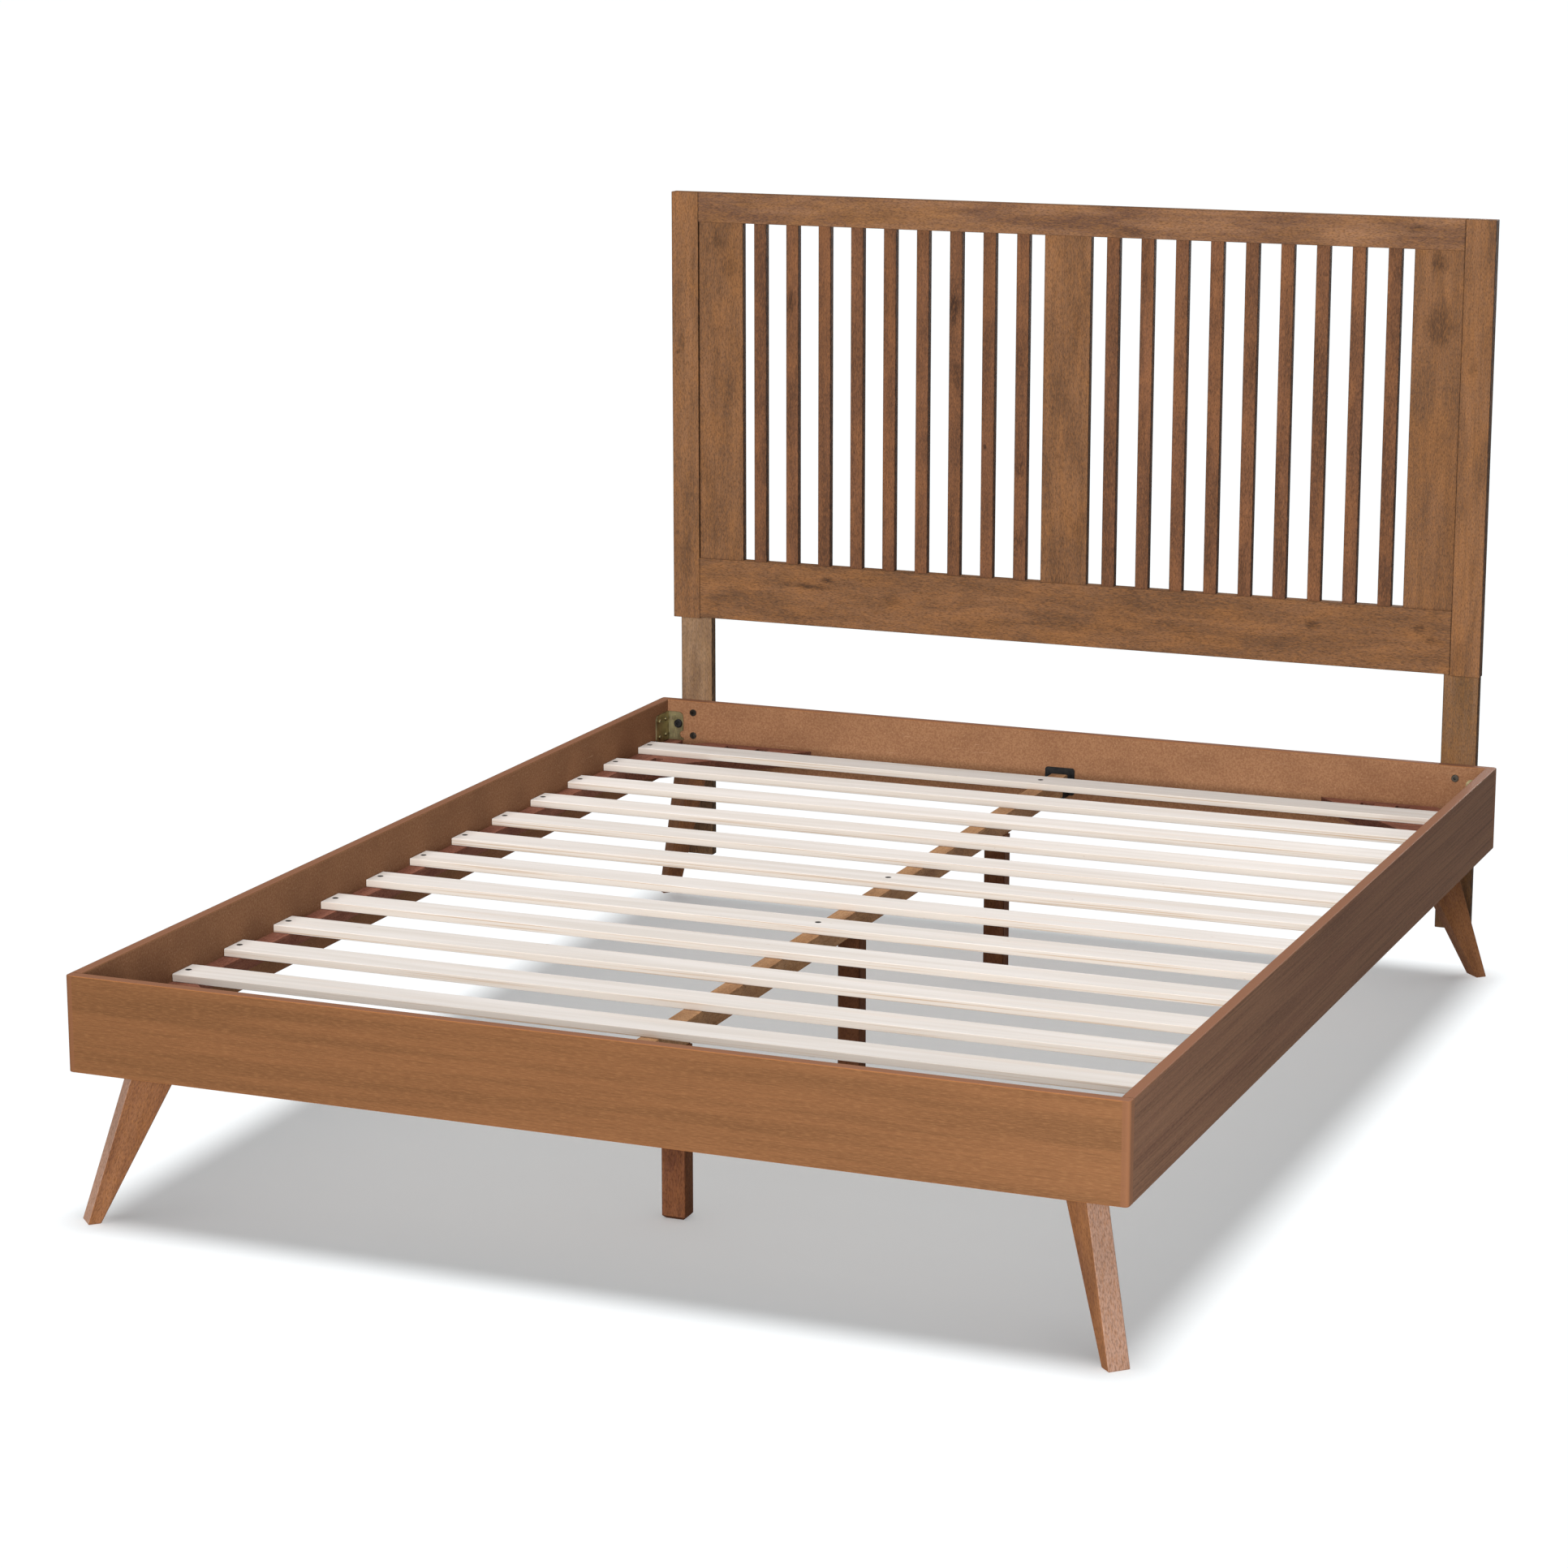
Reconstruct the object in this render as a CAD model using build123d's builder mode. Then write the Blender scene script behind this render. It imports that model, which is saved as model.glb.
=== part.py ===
"""Queen-size wooden bed frame with a slatted headboard.

X runs across the bed, Y from the foot to the head, Z up. The origin is on the floor under the middle
of the bed's box, posts included. All sizes are in millimetres.
"""

import os
from math import sqrt

from build123d import *

# Box of the bed
bed_width = 1600.0
bed_length = 2116.0
floor_to_rail = 230.0
rail_height = 145.0
rail_thickness = 18.0
rail_corner_radius = 7.0
rail_edge_round = 2.0

# Slat deck
deck_drop = 65.0
bed_slat_count = 13
bed_slat_width = 60.0
bed_slat_thickness = 12.0
bed_slat_round = 1.5
bed_slat_end_gap = 1.0
head_gap = 80.0
foot_gap = 94.0
slat_screw_inset = 11.0
beam_screw_slats = (1, 6, 8)

# Supports under the deck
ledger_width = 30.0
ledger_height = 24.0
ledger_screw_gaps = (2, 4, 6, 8, 10)
beam_width = 31.0
beam_height = 36.0
beam_end_gap = 1.0
support_edge_round = 1.5

# Beam hangers
hanger_ear = 9.5
hanger_screw_out = 4.75
hanger_screw_up = 7.75
hanger_above_beam = 12.0
hanger_metal = 2.5
hanger_depth = 30.0
hanger_side_gap = 0.5
hanger_cheek_drop = 8.0
hanger_corner_radius = 5.0

# Centre legs
centre_leg_width = 38.0
centre_leg_depth = 30.0
centre_leg_spacing = 697.0
centre_leg_round = 2.0
centre_leg_chamfer = 5.0

# Corner legs, on the diagonals of the corners; insets run inwards from the rails' outer corner
leg_thickness = 33.0
leg_foot_inset = 16.0
leg_foot_width = 20.0
leg_top_inset = 108.0
leg_top_width = 83.0
leg_edge_round = 1.6
leg_foot_chamfer = 1.5
leg_bolt_inset = 20.0
leg_bolt_spacing = 28.0

# Corner braces, flat boards laid across the corners
brace_near = 84.0
brace_far = 292.0
brace_thickness = 24.0
pocket_inset = 55.0
pocket_spacing = 63.0
pocket_width = 24.0
pocket_run = 18.0
pocket_wall = 14.0
pocket_depth = 15.0
pocket_corner_radius = 4.0
pocket_screw_drop = 8.0

# Corner brackets
bracket_metal = 2.5
bracket_height = 54.0
bracket_side_reach = 58.0
bracket_end_reach = 32.0
bracket_lift = 1.0
bracket_corner_radius = 10.0
bracket_bolt_out = 23.0
bracket_bolt_up = 32.0
bracket_bolt_cover = 4.0
bracket_notch_radius = 7.0
bracket_notch_up = 11.0
bracket_screw_first = 16.0
bracket_screw_edge = 14.0
bracket_screw_rise = 30.0

# Headboard
headboard_inset = 33.0
headboard_bottom = 538.0
headboard_height = 792.0
headboard_thickness = 22.0
stile_width = 53.0
stile_horn = 2.0
top_rail_height = 54.0
bottom_rail_height = 113.0
infill_thickness = 15.0
side_board_width = 88.0
centre_board_width = 87.0
headboard_slat_width = 24.0
headboard_slats_per_bay = 9
slat_gap_at_centre = 28.5
slat_gap_at_side = 22.0
headboard_round = 1.2
tenon_thickness = 10.0
rail_tenon_length = 30.0
stub_tenon_length = 12.0
tenon_shoulder = 4.0
rail_tenon_shoulder = 12.0
tenon_clearance = 0.2
tenon_end_gap = 1.0

# Headboard posts
post_width = 63.0
post_thickness = 18.0
post_inset = 5.5
post_bottom = 75.0
post_above_bolt = 31.0
post_round = 2.0
post_bolt_drop = 22.0
post_bolt_spacing = 44.0
stile_bolt_low = 28.0
stile_bolt_spacing = 100.0

# Fasteners
screw_shank_radius = 2.0
screw_head_radius = 4.0
screw_head_height = 2.4
screw_head_round = 0.6
screw_socket_radius = 2.0
screw_socket_depth = 1.2
screw_recess = 1.2
screw_sink_clearance = 0.4
slat_screw_length = 24.0
ledger_screw_length = 38.0
bracket_screw_length = 15.0
hanger_screw_length = 15.0
brace_screw_length = 27.0
bolt_shank_radius = 4.0
bolt_head_radius = 8.0
bolt_head_height = 5.5
bolt_head_round = 2.0
bolt_socket_radius = 2.9
bolt_socket_depth = 3.0
bolt_sink_clearance = 1.0
bolt_in_insert = 14.0
post_bolt_head_radius = 6.5
post_bolt_head_height = 2.5
post_bolt_head_round = 0.8
post_bolt_socket_depth = 5.0
leg_bolt_in_leg = 32.0
leg_bolt_sink = 7.0
headboard_bolt_sink = 7.0
insert_radius = 6.0
insert_length = 15.0
hanger_bolt_in_leg = 35.0
hanger_bolt_in_beam = 25.0
hole_clearance = 0.05
hole_end_gap = 1.0

# Levels and faces that follow from the sizes
rail_top = floor_to_rail + rail_height
rail_middle = floor_to_rail + rail_height / 2
deck_top = rail_top - deck_drop
support_top = deck_top - bed_slat_thickness
overall_length = bed_length + post_thickness
foot_y = -overall_length / 2
head_y = foot_y + bed_length
inner_foot_y = foot_y + rail_thickness
inner_head_y = head_y - rail_thickness
inner_length = inner_head_y - inner_foot_y
inner_middle_y = (inner_head_y + inner_foot_y) / 2
inner_x = bed_width / 2 - rail_thickness
beam_bottom = support_top - beam_height
brace_bottom = support_top - brace_thickness
headboard_width = bed_width - 2 * headboard_inset
headboard_top = headboard_bottom + headboard_height
headboard_y = head_y - headboard_thickness / 2
post_outer_x = headboard_width / 2 - post_inset
post_centre_x = post_outer_x - post_width / 2
bolt_hole_radius = bolt_shank_radius + hole_clearance
bracket_bolt_length = bracket_metal + rail_thickness - bracket_bolt_cover

sides = {"left": -1, "right": 1}
ends = {"front": -1, "rear": 1}
corners = [(f"{end}_{side}", sides[side], ends[end]) for end in ends for side in sides]
on_seat = (Align.CENTER, Align.CENTER, Align.MIN)
under_seat = (Align.CENTER, Align.CENTER, Align.MAX)

os.makedirs("parts", exist_ok=True)


def write_piece(piece, name):
    """Label a finished piece and write it to its own file."""
    piece.part.label = name
    export_step(piece.part, f"parts/{name}.step")


def drill(planes, radius, depth):
    """Cut a round hole along each plane's normal, from its origin inwards."""
    with Locations(*planes):
        Cylinder(radius, depth, align=on_seat, mode=Mode.SUBTRACT)


def fastener(shank_radius, shank_length, head_radius, head_height, head_round, socket_radius, socket_depth):
    """A headed fastener along Z, with the head's seat at the origin and the shank above it."""
    with BuildPart() as piece:
        Cylinder(shank_radius, shank_length, align=on_seat)
        Cylinder(head_radius, head_height, align=under_seat)
        fillet(piece.edges().sort_by(Axis.Z)[0], head_round)
        with BuildSketch(Plane.XY.offset(-head_height)):
            RegularPolygon(socket_radius, 6)
        extrude(amount=socket_depth, mode=Mode.SUBTRACT)
    return piece.part


def wood_screw(length):
    """A small countersunk-style screw with a hexagon socket in its flat head."""
    return fastener(
        screw_shank_radius,
        length,
        screw_head_radius,
        screw_head_height,
        screw_head_round,
        screw_socket_radius,
        screw_socket_depth,
    )


def machine_bolt(length):
    """A bolt with a domed socket head."""
    return fastener(
        bolt_shank_radius,
        length,
        bolt_head_radius,
        bolt_head_height,
        bolt_head_round,
        bolt_socket_radius,
        bolt_socket_depth,
    )


def corner_xy(side, end, along, out):
    """X and Y of a point given from a corner's inner edge, along the end rail and out from it."""
    rail_y = inner_head_y if end > 0 else inner_foot_y
    return side * (inner_x - along), rail_y - end * out


def diagonal_xy(side, end, inset):
    """X and Y of a point on a corner's diagonal, inset from the rails' outer corner."""
    rail_y = head_y if end > 0 else foot_y
    step = inset / sqrt(2)
    return side * (bed_width / 2 - step), rail_y - end * step


# Places of the slats and of every fastener

slat_span = inner_length - head_gap - foot_gap - bed_slat_width
slat_pitch = slat_span / (bed_slat_count - 1)
first_slat_y = inner_head_y - head_gap - bed_slat_width / 2
bed_slat_ys = [first_slat_y - slat_pitch * number for number in range(bed_slat_count)]
slat_seat = deck_top - screw_recess - screw_head_height
slat_screw_x = inner_x - slat_screw_inset
down = (0, 0, -1)

end_slat_screws = {
    side: [Plane((sign * slat_screw_x, y, slat_seat), z_dir=down) for y in bed_slat_ys]
    for side, sign in sides.items()
}
beam_slat_screws = {
    number: Plane((0, bed_slat_ys[number - 1], slat_seat), z_dir=down) for number in beam_screw_slats
}

ledger_screw_ys = [bed_slat_ys[gap - 1] - slat_pitch / 2 for gap in ledger_screw_gaps]
ledger_seat_x = inner_x - ledger_width + screw_head_height
ledger_middle = support_top - ledger_height / 2
ledger_screws_at = {
    side: [Plane((sign * ledger_seat_x, y, ledger_middle), z_dir=(sign, 0, 0)) for y in ledger_screw_ys]
    for side, sign in sides.items()
}

bracket_bottom = support_top + bracket_lift
bracket_bolts_at = {}
bracket_screws_at = {}
for corner, side, end in corners:
    bolt_x, bolt_y = corner_xy(side, end, bracket_bolt_out, bracket_metal)
    bolt_z = bracket_bottom + bracket_bolt_up
    bracket_bolts_at[corner] = Plane((bolt_x, bolt_y, bolt_z), z_dir=(0, end, 0))
    bracket_screws_at[corner] = []
    for screw_out in (bracket_screw_first, bracket_side_reach - bracket_screw_edge):
        screw_x, screw_y = corner_xy(side, end, bracket_metal, screw_out)
        for row in (-1, 1):
            screw_z = bracket_bottom + bracket_height / 2 + row * bracket_screw_rise / 2
            bracket_screws_at[corner].append(Plane((screw_x, screw_y, screw_z), z_dir=(side, 0, 0)))

# Screws sit in pockets in the braces' tops and run level into the end rails and the ledgers
pocket_screw_z = support_top - pocket_screw_drop
pocket_middle = pocket_wall + pocket_run / 2
pocket_steps = (brace_near + pocket_inset, brace_near + pocket_inset + pocket_spacing)
end_screws_at = {}
side_screws_at = {}
end_pockets_at = {}
side_pockets_at = {}
for corner, side, end in corners:
    end_screws_at[corner] = [
        Plane((*corner_xy(side, end, step, pocket_wall), pocket_screw_z), z_dir=(0, end, 0))
        for step in pocket_steps
    ]
    wall_out = ledger_width + pocket_wall
    side_screws_at[corner] = [
        Plane((*corner_xy(side, end, wall_out, step - ledger_width), pocket_screw_z), z_dir=(side, 0, 0))
        for step in pocket_steps
    ]
    end_pockets_at[corner] = [corner_xy(side, end, step, pocket_middle) for step in pocket_steps]
    side_pockets_at[corner] = [
        corner_xy(side, end, ledger_width + pocket_middle, step - ledger_width) for step in pocket_steps
    ]

leg_bolts_at = {}
for corner, side, end in corners:
    leg_bolts_at[corner] = []
    for number in (0, 1):
        inset = leg_top_inset + leg_bolt_inset + number * leg_bolt_spacing
        bolt_x, bolt_y = diagonal_xy(side, end, inset)
        leg_bolts_at[corner].append(Plane((bolt_x, bolt_y, support_top - leg_bolt_sink), z_dir=down))

saddle_half = beam_width / 2 + hanger_side_gap
saddle_outer = saddle_half + hanger_metal
hanger_screw_x = saddle_outer + hanger_screw_out
hanger_screw_zs = (support_top, beam_bottom + hanger_screw_up)
hanger_screws_at = {}
for end_name, rail_y, end in (("head", inner_head_y, 1), ("foot", inner_foot_y, -1)):
    seat_y = rail_y - end * hanger_metal
    hanger_screws_at[end_name] = [
        Plane((sign * hanger_screw_x, seat_y, z), z_dir=(0, end, 0))
        for sign in sides.values()
        for z in hanger_screw_zs
    ]

centre_leg_ys = {
    "front": inner_middle_y - centre_leg_spacing,
    "middle": inner_middle_y,
    "rear": inner_middle_y + centre_leg_spacing,
}
centre_bolts_at = [
    Plane((0, y, beam_bottom - hanger_bolt_in_leg), z_dir=(0, 0, 1)) for y in centre_leg_ys.values()
]

post_bolt_zs = (rail_top - post_bolt_drop, rail_top - post_bolt_drop - post_bolt_spacing)
post_bolts_at = {
    side: [Plane((sign * post_centre_x, inner_head_y, z), z_dir=(0, 1, 0)) for z in post_bolt_zs]
    for side, sign in sides.items()
}
post_inserts_at = {
    side: [Plane((sign * post_centre_x, head_y, z), z_dir=(0, 1, 0)) for z in post_bolt_zs]
    for side, sign in sides.items()
}

stile_x = headboard_width / 2 - stile_width / 2
stile_inner_x = headboard_width / 2 - stile_width
stile_bolt_x = (stile_inner_x + post_outer_x) / 2
first_stile_bolt = headboard_bottom + bottom_rail_height + stile_bolt_low
stile_bolt_zs = (first_stile_bolt, first_stile_bolt + stile_bolt_spacing)
post_back_y = head_y + post_thickness
headboard_seat_y = post_back_y - headboard_bolt_sink
headboard_bolts_at = {
    side: [Plane((sign * stile_bolt_x, headboard_seat_y, z), z_dir=(0, -1, 0)) for z in stile_bolt_zs]
    for side, sign in sides.items()
}
stile_inserts_at = {
    side: [Plane((sign * stile_bolt_x, head_y, z), z_dir=(0, -1, 0)) for z in stile_bolt_zs]
    for side, sign in sides.items()
}


def drill_screws(planes, length):
    """Cut the holes that a set of screw shanks needs, end gap included."""
    drill(planes, screw_shank_radius + hole_clearance, length + hole_end_gap)


def sink_heads(planes, radius, height):
    """Cut the round recesses behind a set of fastener seats, so that the heads lie inside the wood."""
    with Locations(*planes):
        Cylinder(radius, height, align=under_seat, mode=Mode.SUBTRACT)


# End rails

for name, middle_y, outer_face, end_name in (
    ("foot_rail", foot_y + rail_thickness / 2, 0, "front"),
    ("head_rail", head_y - rail_thickness / 2, -1, "rear"),
):
    with BuildPart() as end_rail:
        with Locations((0, middle_y, rail_middle)):
            Box(bed_width, rail_thickness, rail_height)
        outer_corners = end_rail.faces().sort_by(Axis.Y)[outer_face].edges().filter_by(Axis.Z)
        fillet(outer_corners, rail_corner_radius)
        rims = end_rail.edges().group_by(Axis.Z)
        fillet(rims[-1] + rims[0], rail_edge_round)
        for side in sides:
            corner = f"{end_name}_{side}"
            drill([bracket_bolts_at[corner]], bolt_hole_radius, bracket_bolt_length + hole_end_gap)
            drill_screws(end_screws_at[corner], brace_screw_length)
            if end_name == "rear":
                drill(post_bolts_at[side], bolt_hole_radius, rail_thickness)
        drill_screws(hanger_screws_at["head" if end_name == "rear" else "foot"], hanger_screw_length)
    write_piece(end_rail, name)

# Side rails

for side, sign in sides.items():
    with BuildPart() as side_rail:
        with Locations((sign * (inner_x + rail_thickness / 2), inner_middle_y, rail_middle)):
            Box(rail_thickness, inner_length, rail_height)
        fillet(side_rail.edges().filter_by(Axis.Y), rail_edge_round)
        drill_screws(ledger_screws_at[side], ledger_screw_length)
        for end in ends:
            drill_screws(bracket_screws_at[f"{end}_{side}"], bracket_screw_length)
    write_piece(side_rail, f"{side}_side_rail")

# Ledgers

for side, sign in sides.items():
    with BuildPart() as ledger:
        with Locations((sign * (inner_x - ledger_width / 2), inner_middle_y, ledger_middle)):
            Box(ledger_width, inner_length, ledger_height)
        inner_face = ledger.faces().sort_by(Axis.X)[-1 if sign < 0 else 0]
        fillet(inner_face.edges().filter_by(Axis.Y), support_edge_round)
        drill_screws(ledger_screws_at[side], ledger_screw_length)
        sink_heads(ledger_screws_at[side], screw_head_radius + screw_sink_clearance, screw_head_height)
        drill_screws(end_slat_screws[side], slat_screw_length)
        for end in ends:
            drill_screws(side_screws_at[f"{end}_{side}"], brace_screw_length)
    write_piece(ledger, f"{side}_ledger")

# Bed slats, numbered from the head

for number, slat_y in enumerate(bed_slat_ys, start=1):
    with BuildPart() as bed_slat:
        with Locations((0, slat_y, deck_top - bed_slat_thickness / 2)):
            Box(2 * (inner_x - bed_slat_end_gap), bed_slat_width, bed_slat_thickness)
        fillet(bed_slat.edges().filter_by(Axis.X), bed_slat_round)
        seats = [end_slat_screws[side][number - 1] for side in sides]
        if number in beam_slat_screws:
            seats.append(beam_slat_screws[number])
        drill_screws(seats, slat_screw_length)
        sink_heads(seats, screw_head_radius + screw_sink_clearance, screw_head_height + screw_recess)
    write_piece(bed_slat, f"bed_slat_{number:02d}")

# Centre beam

beam_length = inner_length - 2 * (hanger_metal + beam_end_gap)
with BuildPart() as centre_beam:
    with Locations((0, inner_middle_y, support_top - beam_height / 2)):
        Box(beam_width, beam_length, beam_height)
    fillet(centre_beam.edges().filter_by(Axis.Y), support_edge_round)
    drill_screws(beam_slat_screws.values(), slat_screw_length)
    bolt_depth = hanger_bolt_in_leg + hanger_bolt_in_beam + hole_end_gap
    drill(centre_bolts_at, bolt_hole_radius, bolt_depth)
write_piece(centre_beam, "centre_beam")

# Beam hangers: a plate on the rail with a saddle under the beam's end

hanger_width = 2 * (saddle_outer + hanger_ear)
hanger_bottom = beam_bottom - hanger_metal
hanger_top = support_top + hanger_above_beam
cheek_height = beam_height - hanger_cheek_drop + hanger_metal
for end_name, rail_y, end in (("head", inner_head_y, 1), ("foot", inner_foot_y, -1)):
    with BuildPart() as hanger:
        with Locations((0, rail_y - end * hanger_metal / 2, (hanger_bottom + hanger_top) / 2)):
            Box(hanger_width, hanger_metal, hanger_top - hanger_bottom)
        fillet(hanger.edges().filter_by(Axis.Y), hanger_corner_radius)
        saddle_y = rail_y - end * hanger_depth / 2
        with Locations((0, saddle_y, hanger_bottom + hanger_metal / 2)):
            Box(2 * saddle_outer, hanger_depth, hanger_metal)
        cheek_x = saddle_half + hanger_metal / 2
        cheek_z = hanger_bottom + cheek_height / 2
        with Locations((-cheek_x, saddle_y, cheek_z), (cheek_x, saddle_y, cheek_z)):
            Box(hanger_metal, hanger_depth, cheek_height)
        drill_screws(hanger_screws_at[end_name], hanger_metal)
    write_piece(hanger, f"{end_name}_beam_hanger")

# Centre legs

for name, leg_y in centre_leg_ys.items():
    with BuildPart() as centre_leg:
        with Locations((0, leg_y, beam_bottom / 2)):
            Box(centre_leg_width, centre_leg_depth, beam_bottom)
        chamfer(centre_leg.faces().sort_by(Axis.Z)[0].edges(), centre_leg_chamfer)
        fillet(centre_leg.edges().filter_by(Axis.Z), centre_leg_round)
        bolt_depth = hanger_bolt_in_leg + hole_end_gap
        drill([Plane((0, leg_y, beam_bottom - bolt_depth))], bolt_hole_radius, bolt_depth)
    write_piece(centre_leg, f"{name}_centre_leg")

# Corner legs

for corner, side, end in corners:
    corner_x, corner_y = diagonal_xy(side, end, 0)
    inwards = (-side / sqrt(2), -end / sqrt(2), 0)
    across = (-end / sqrt(2), side / sqrt(2), 0)
    leg_outline = [
        (leg_foot_inset, 0),
        (leg_foot_inset + leg_foot_width, 0),
        (leg_top_inset + leg_top_width, brace_bottom),
        (leg_top_inset, brace_bottom),
    ]
    with BuildPart() as corner_leg:
        with BuildSketch(Plane((corner_x, corner_y, 0), x_dir=inwards, z_dir=across)):
            with BuildLine():
                Polyline(*leg_outline, close=True)
            make_face()
        extrude(amount=leg_thickness / 2, both=True)
        chamfer(corner_leg.faces().sort_by(Axis.Z)[0].edges(), leg_foot_chamfer)
        fillet(corner_leg.edges().filter_by(lambda edge: edge.length > floor_to_rail), leg_edge_round)
        bolt_depth = leg_bolt_in_leg + brace_thickness + hole_end_gap
        drill(leg_bolts_at[corner], bolt_hole_radius, bolt_depth)
    write_piece(corner_leg, f"{corner}_leg")

# Corner braces

for corner, side, end in corners:
    brace_outline = [
        corner_xy(side, end, brace_near, 0),
        corner_xy(side, end, brace_far, 0),
        corner_xy(side, end, ledger_width, brace_far - ledger_width),
        corner_xy(side, end, ledger_width, brace_near - ledger_width),
    ]
    with BuildPart() as brace:
        with BuildSketch(Plane.XY.offset(brace_bottom)):
            with BuildLine():
                Polyline(*brace_outline, close=True)
            make_face()
        extrude(amount=brace_thickness)
        with BuildSketch(Plane.XY.offset(support_top)):
            with Locations(*end_pockets_at[corner]):
                RectangleRounded(pocket_width, pocket_run, pocket_corner_radius)
            with Locations(*side_pockets_at[corner]):
                RectangleRounded(pocket_run, pocket_width, pocket_corner_radius)
        extrude(amount=-pocket_depth, mode=Mode.SUBTRACT)
        drill_screws(end_screws_at[corner] + side_screws_at[corner], brace_screw_length)
        drill(leg_bolts_at[corner], bolt_hole_radius, brace_thickness)
        sink_heads(leg_bolts_at[corner], bolt_head_radius + bolt_sink_clearance, leg_bolt_sink)
    write_piece(brace, f"{corner}_corner_brace")

# Corner brackets: an angle plate with a bolt hole and an open hook notch on the end rail's side

for corner, side, end in corners:
    plate_x, plate_y = corner_xy(side, end, bracket_end_reach / 2, bracket_metal / 2)
    wing_x, wing_y = corner_xy(side, end, bracket_metal / 2, bracket_side_reach / 2)
    middle_z = bracket_bottom + bracket_height / 2
    notch_x, notch_y = corner_xy(side, end, bracket_end_reach, 0)
    with BuildPart() as bracket:
        with Locations((plate_x, plate_y, middle_z)):
            Box(bracket_end_reach, bracket_metal, bracket_height)
        free_edges = bracket.edges().filter_by(Axis.Y).sort_by(Axis.X)
        free_edges = free_edges[:2] if side > 0 else free_edges[-2:]
        fillet(free_edges.sort_by(Axis.Z)[-1], bracket_corner_radius)
        with Locations((wing_x, wing_y, middle_z)):
            Box(bracket_metal, bracket_side_reach, bracket_height)
        wing_edges = bracket.edges().filter_by(Axis.X).sort_by(Axis.Y)
        wing_edges = wing_edges[:2] if end > 0 else wing_edges[-2:]
        fillet(wing_edges, bracket_corner_radius)
        notch = Plane((notch_x, notch_y, bracket_bottom + bracket_notch_up), z_dir=(0, -end, 0))
        drill([notch], bracket_notch_radius, bracket_metal)
        drill([bracket_bolts_at[corner]], bolt_hole_radius, bracket_metal)
        drill_screws(bracket_screws_at[corner], bracket_metal)
    write_piece(bracket, f"{corner}_corner_bracket")

# Headboard frame

top_rail_middle = headboard_top - top_rail_height / 2
bottom_rail_middle = headboard_bottom + bottom_rail_height / 2
infill_bottom = headboard_bottom + bottom_rail_height
infill_top = headboard_top - top_rail_height
infill_height = infill_top - infill_bottom
headboard_rails = {
    "headboard_top_rail": (top_rail_middle, top_rail_height, infill_top, 1),
    "headboard_bottom_rail": (bottom_rail_middle, bottom_rail_height, infill_bottom, -1),
}
side_board_x = stile_inner_x - side_board_width / 2
bay_start = centre_board_width / 2 + slat_gap_at_centre + headboard_slat_width / 2
bay_end = stile_inner_x - side_board_width - slat_gap_at_side - headboard_slat_width / 2
bay_pitch = (bay_end - bay_start) / (headboard_slats_per_bay - 1)
bay_xs = [bay_start + bay_pitch * number for number in range(headboard_slats_per_bay)]
board_xs = {"left": -side_board_x, "centre": 0, "right": side_board_x}
board_widths = {"left": side_board_width, "centre": centre_board_width, "right": side_board_width}


def stub_width(width):
    """Width of the stub tenon on the end of a board or slat."""
    return width - 2 * tenon_shoulder


def infill_piece(xs, width, name):
    """Upright boards or slats of one width, each with a stub tenon at both ends."""
    middle = (infill_bottom + infill_top) / 2
    with BuildPart() as piece:
        with Locations(*[(x, headboard_y, middle) for x in xs]):
            Box(width, infill_thickness, infill_height)
        fillet(piece.edges().filter_by(Axis.Z), headboard_round)
        with Locations(*[(x, headboard_y, middle) for x in xs]):
            Box(stub_width(width), tenon_thickness, infill_height + 2 * stub_tenon_length)
    write_piece(piece, name)


for side, sign in sides.items():
    with BuildPart() as stile:
        stile_middle = (headboard_bottom - stile_horn + headboard_top) / 2
        with Locations((sign * stile_x, headboard_y, stile_middle)):
            Box(stile_width, headboard_thickness, headboard_height + stile_horn)
        fillet(stile.edges(), headboard_round)
        for middle, height, _, _ in headboard_rails.values():
            mortise_depth = rail_tenon_length + tenon_end_gap
            with Locations((sign * (stile_inner_x + mortise_depth / 2), headboard_y, middle)):
                Box(
                    mortise_depth,
                    tenon_thickness + 2 * tenon_clearance,
                    height - 2 * rail_tenon_shoulder + 2 * tenon_clearance,
                    mode=Mode.SUBTRACT,
                )
        drill(stile_inserts_at[side], insert_radius + hole_clearance, insert_length)
    write_piece(stile, f"headboard_{side}_stile")

for name, (middle, height, infill_edge, outwards) in headboard_rails.items():
    with BuildPart() as headboard_rail:
        with Locations((0, headboard_y, middle)):
            Box(2 * stile_inner_x, headboard_thickness, height)
        fillet(headboard_rail.edges().filter_by(Axis.X), headboard_round)
        with Locations((0, headboard_y, middle)):
            Box(2 * (stile_inner_x + rail_tenon_length), tenon_thickness, height - 2 * rail_tenon_shoulder)
        mortise_depth = stub_tenon_length + tenon_end_gap
        mortise_z = infill_edge + outwards * mortise_depth / 2
        mortises = [(board_xs[board], board_widths[board]) for board in board_xs]
        mortises += [(sign * x, headboard_slat_width) for sign in sides.values() for x in bay_xs]
        for mortise_x, width in mortises:
            with Locations((mortise_x, headboard_y, mortise_z)):
                Box(
                    stub_width(width) + 2 * tenon_clearance,
                    tenon_thickness + 2 * tenon_clearance,
                    mortise_depth,
                    mode=Mode.SUBTRACT,
                )
    write_piece(headboard_rail, name)

for board, board_x in board_xs.items():
    infill_piece([board_x], board_widths[board], f"headboard_{board}_board")

for side, sign in sides.items():
    infill_piece([sign * x for x in bay_xs], headboard_slat_width, f"headboard_{side}_slats")

# Headboard posts

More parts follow.
